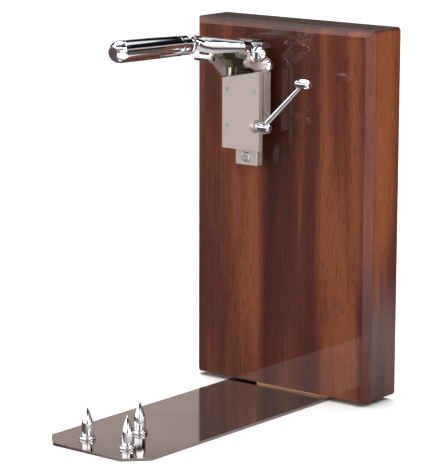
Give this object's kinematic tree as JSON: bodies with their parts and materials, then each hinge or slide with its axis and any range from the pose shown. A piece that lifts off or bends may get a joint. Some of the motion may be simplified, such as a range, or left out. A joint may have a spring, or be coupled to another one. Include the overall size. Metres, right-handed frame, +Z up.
{
  "type": "manual can opener",
  "caption": "Stand-mounted lever can opener: a lacquered backboard on a steel base plate with upright spikes, and a chromed lever head that lifts a toothed ram.",
  "frame": {"origin": "on the ground, at the centre of the footprint", "axes": "+X to the right of the board, -Y out of the board's front towards the grip, +Z up"},
  "size_m": [0.238, 0.367, 0.405],
  "materials": {
    "lacquered_wood": "dark red-brown mahogany under a thick gloss lacquer",
    "raw_wood": "plain planed hardwood",
    "polished_steel": "steel plate, polished almost to a mirror",
    "chrome": "bright chrome plate",
    "satin_nickel": "brushed plate with a satin nickel finish",
    "rail_brass": "machined brass with a dull grey film",
    "dark_steel": "machined tool steel under a film of oil",
    "bright_screw": "zinc-plated steel",
    "grip_chrome": "chrome plate on a turned steel tube"
  },
  "bodies": {
    "stand": {"backboard": "lacquered_wood", "base_plate": "polished_steel", "packing_strip": "raw_wood", "plate_screws": "bright_screw", "spike_left": "chrome", "spike_right": "chrome", "spike_rear": "chrome", "spike_screws": "bright_screw", "mounting_block": "dark_steel", "back_plate": "dark_steel", "mounting_screws": "bright_screw", "side_plate_left": "satin_nickel", "side_plate_right": "satin_nickel", "guide_rail_left": "rail_brass", "guide_rail_right": "rail_brass", "side_screws": "bright_screw", "dome_screws": "chrome", "pivot_bushes": "rail_brass", "stop_pin": "chrome", "front_cover": "satin_nickel", "cover_standoffs": "bright_screw", "cover_screws": "bright_screw", "spring_post": "chrome", "return_spring": "dark_steel", "lock_pivot": "chrome"},
    "ram": {"ram": "dark_steel", "end_block": "satin_nickel", "end_block_screw": "bright_screw"},
    "lever": {"yoke": "chrome", "tang": "bright_screw", "tang_rivet": "chrome", "ferrule": "grip_chrome", "grip": "grip_chrome", "grip_cap": "grip_chrome", "pivot_shaft": "bright_screw", "gear_key": "dark_steel", "sector_gear": "dark_steel", "shaft_sleeves": "bright_screw", "pivot_washers": "chrome", "pivot_nut": "chrome", "pivot_cap": "chrome"},
    "lock_lever": {"lock_hub": "chrome", "lock_rod": "chrome", "lock_knob": "chrome"}
  },
  "joints": [
    {"name": "lever_pivot", "type": "hinge", "parent": "stand", "child": "lever", "pos_m": [-0.031, 0.0925, 0.375], "axis": [1, 0, 0], "range_deg": [-25, 45], "stiffness_Nm_per_rad": 0.8, "springref_deg": -25.78},
    {"name": "ram_slide", "type": "slide", "parent": "stand", "child": "ram", "axis": [0, 0, 1], "range_m": [-0.0076, 0.0135]},
    {"name": "lock_pivot", "type": "hinge", "parent": "stand", "child": "lock_lever", "pos_m": [0.00375, 0.097, 0.297], "axis": [1, 0, 0], "range_deg": [-25, 110]}
  ],
  "couplings": [
    {"joint": "ram_slide", "follows": "lever_pivot", "m_per_rad": 0.017}
  ]
}
